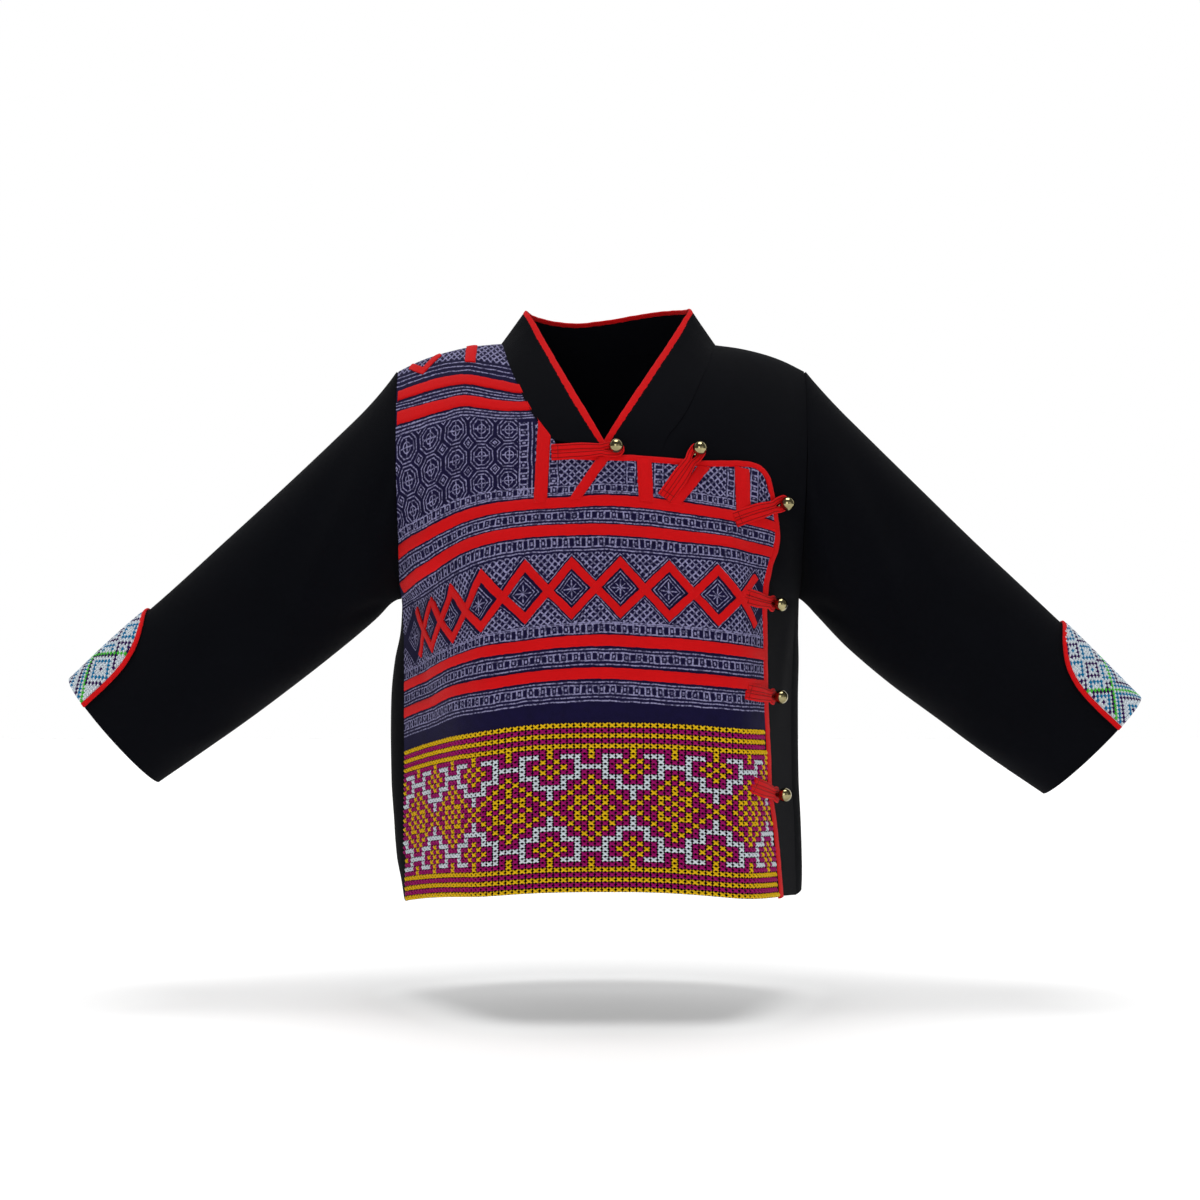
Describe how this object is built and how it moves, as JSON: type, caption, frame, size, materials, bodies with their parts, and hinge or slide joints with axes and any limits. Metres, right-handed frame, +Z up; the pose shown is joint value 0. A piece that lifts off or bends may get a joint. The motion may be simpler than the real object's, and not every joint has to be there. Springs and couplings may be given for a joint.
{
  "type": "embroidered side-closing jacket",
  "caption": "Long-sleeved side-closing jacket with a shawl collar, patterned front, embroidered hem band and cuff corners, closed by loops over ball buttons.",
  "frame": {"origin": "middle of the neck opening at the height of the shoulder line, where the wearer's shoulders carry the jacket", "axes": "+X towards the wearer's left, -Y out of the front, +Z up"},
  "size_m": [0.7973, 0.2042, 0.4481],
  "materials": {
    "black_cloth": "soft matt cotton",
    "batik_cloth": "matt indigo cotton with pale wax-resist lines",
    "embroidered_cloth": "dense cross-stitch on cotton",
    "cuff_embroidery": "dense counted stitches",
    "red_cloth": "folded plain cotton strip",
    "brass": "polished, slightly worn"
  },
  "bodies": {
    "root": {"front_batik": "batik_cloth", "embroidered_band": "embroidered_cloth", "front_underlap": "black_cloth", "back_panel": "black_cloth", "sleeve_right": "black_cloth", "sleeve_left": "black_cloth", "cuff_embroidery_right": "cuff_embroidery", "cuff_embroidery_left": "cuff_embroidery", "cuff_piping_right": "red_cloth", "cuff_piping_left": "red_cloth", "collar": "black_cloth", "neck_binding": "red_cloth", "overlap_binding": "red_cloth", "button_1": "brass", "button_loop_1": "red_cloth", "button_2": "brass", "button_loop_2": "red_cloth", "button_3": "brass", "button_loop_3": "red_cloth", "button_4": "brass", "button_loop_4": "red_cloth", "button_5": "brass", "button_loop_5": "red_cloth", "button_6": "brass", "button_loop_6": "red_cloth"}
  },
  "joints": []
}
